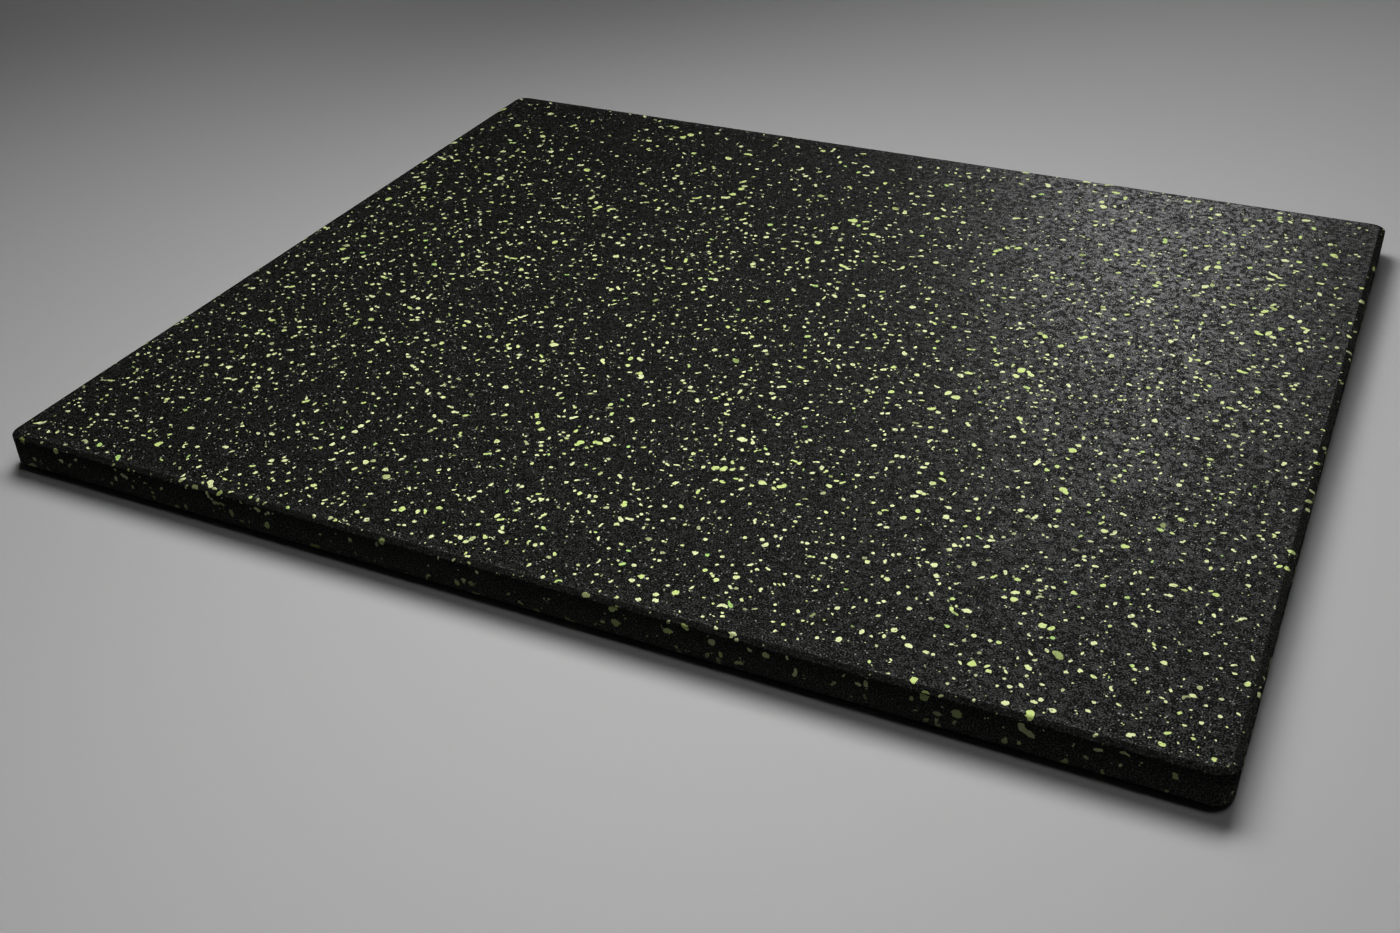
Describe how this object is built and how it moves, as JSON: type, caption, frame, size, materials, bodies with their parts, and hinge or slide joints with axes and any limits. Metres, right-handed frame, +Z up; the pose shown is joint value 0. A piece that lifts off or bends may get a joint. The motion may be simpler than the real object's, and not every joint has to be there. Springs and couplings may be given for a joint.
{
  "type": "modular gym mat",
  "caption": "Flat rectangular floor tile of pressed crumb rubber with green flecks, rounded corners and bevelled edges, laid edge to edge as protective flooring.",
  "frame": {"origin": "centre of the underside, on the floor", "axes": "+X along the long sides, +Y along the short sides, +Z up out of the walking face"},
  "size_m": [1, 0.84, 0.03],
  "materials": {
    "rubber_crumb": "matte",
    "rubber_fleck": "matte"
  },
  "bodies": {
    "root": {"mat_slab": "rubber_crumb"}
  },
  "joints": []
}
